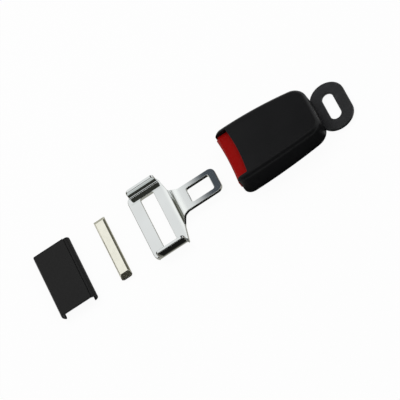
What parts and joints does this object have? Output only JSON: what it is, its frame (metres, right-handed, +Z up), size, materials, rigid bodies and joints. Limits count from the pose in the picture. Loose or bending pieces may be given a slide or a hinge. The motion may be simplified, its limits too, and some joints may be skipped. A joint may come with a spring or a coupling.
{
  "type": "seat belt buckle and tongue set",
  "caption": "Two-point seat belt fastener laid out apart: clip-on cover, webbing slide bar, chromed tongue plate, push-button buckle with slotted anchor lug.",
  "frame": {"origin": "middle of the whole row, on the surface it lies on", "axes": "+X along the insertion axis from the cover towards the anchor lug, +Y to the left of it, +Z up"},
  "size_m": [0.2694, 0.0706, 0.0201],
  "materials": {
    "housing_plastic": "satin black, fine moulded grain",
    "cover_plastic": "satin black",
    "button_plastic": "red, semi-gloss",
    "guide_plastic": "black",
    "ejector_plastic": "natural grey",
    "chrome_plate": "polished chrome plating",
    "bar_nickel": "satin nickel, faintly speckled",
    "lug_coating": "dark grey coated steel",
    "frame_steel": "zinc plated",
    "pin_steel": "ground",
    "spring_steel": "bright wire",
    "screw_steel": "black zinc"
  },
  "bodies": {
    "buckle": {"lower_shell": "housing_plastic", "upper_shell": "housing_plastic", "shell_screws": "screw_steel", "base_plate": "frame_steel", "anchor_lug": "lug_coating", "lug_rivets": "pin_steel", "tongue_guide": "guide_plastic", "latch_pivot_pin": "pin_steel", "spring_carrier": "guide_plastic", "latch_spring": "spring_steel", "ejector_spring": "spring_steel", "button_spring_left": "spring_steel", "button_spring_right": "spring_steel"},
    "button": {"release_button": "button_plastic", "lock_pin": "pin_steel"},
    "latch": {"latch": "frame_steel"},
    "ejector": {"ejector": "ejector_plastic"},
    "tongue": {"tongue_plate": "chrome_plate"},
    "slide_bar": {"slide_bar": "bar_nickel"},
    "cover": {"bar_cover": "cover_plastic"}
  },
  "joints": [
    {"name": "tongue_insert", "type": "slide", "parent": "buckle", "child": "tongue", "axis": [1, 0, 0], "range_m": [0, 0.044]},
    {"name": "eject", "type": "slide", "parent": "buckle", "child": "ejector", "axis": [1, 0, 0], "range_m": [0, 0.01], "deforming": ["ejector_spring"]},
    {"name": "button_press", "type": "slide", "parent": "buckle", "child": "button", "axis": [-1, 0, 0], "range_m": [0, 0.003], "stiffness_N_per_m": 150, "deforming": ["button_spring_left", "button_spring_right"]},
    {"name": "latch_turn", "type": "hinge", "parent": "buckle", "child": "latch", "pos_m": [0.08455, 0, 0.0096], "axis": [0, 1, 0], "range_deg": [-10, 0], "deforming": ["latch_spring"]},
    {"name": "bar_fit", "type": "slide", "parent": "tongue", "child": "slide_bar", "axis": [0.9929, 0, 0.1187], "range_m": [0, 0.04129]},
    {"name": "cover_carry", "type": "slide", "parent": "tongue", "child": "cover", "axis": [0.9569, 0, 0.2903], "range_m": [0, 0.08611]}
  ],
  "couplings": [
    {"joint": "eject", "follows": "tongue_insert", "ratio": 0.22727},
    {"joint": "latch_turn", "follows": "button_press", "rad_per_m": -58.178}
  ]
}
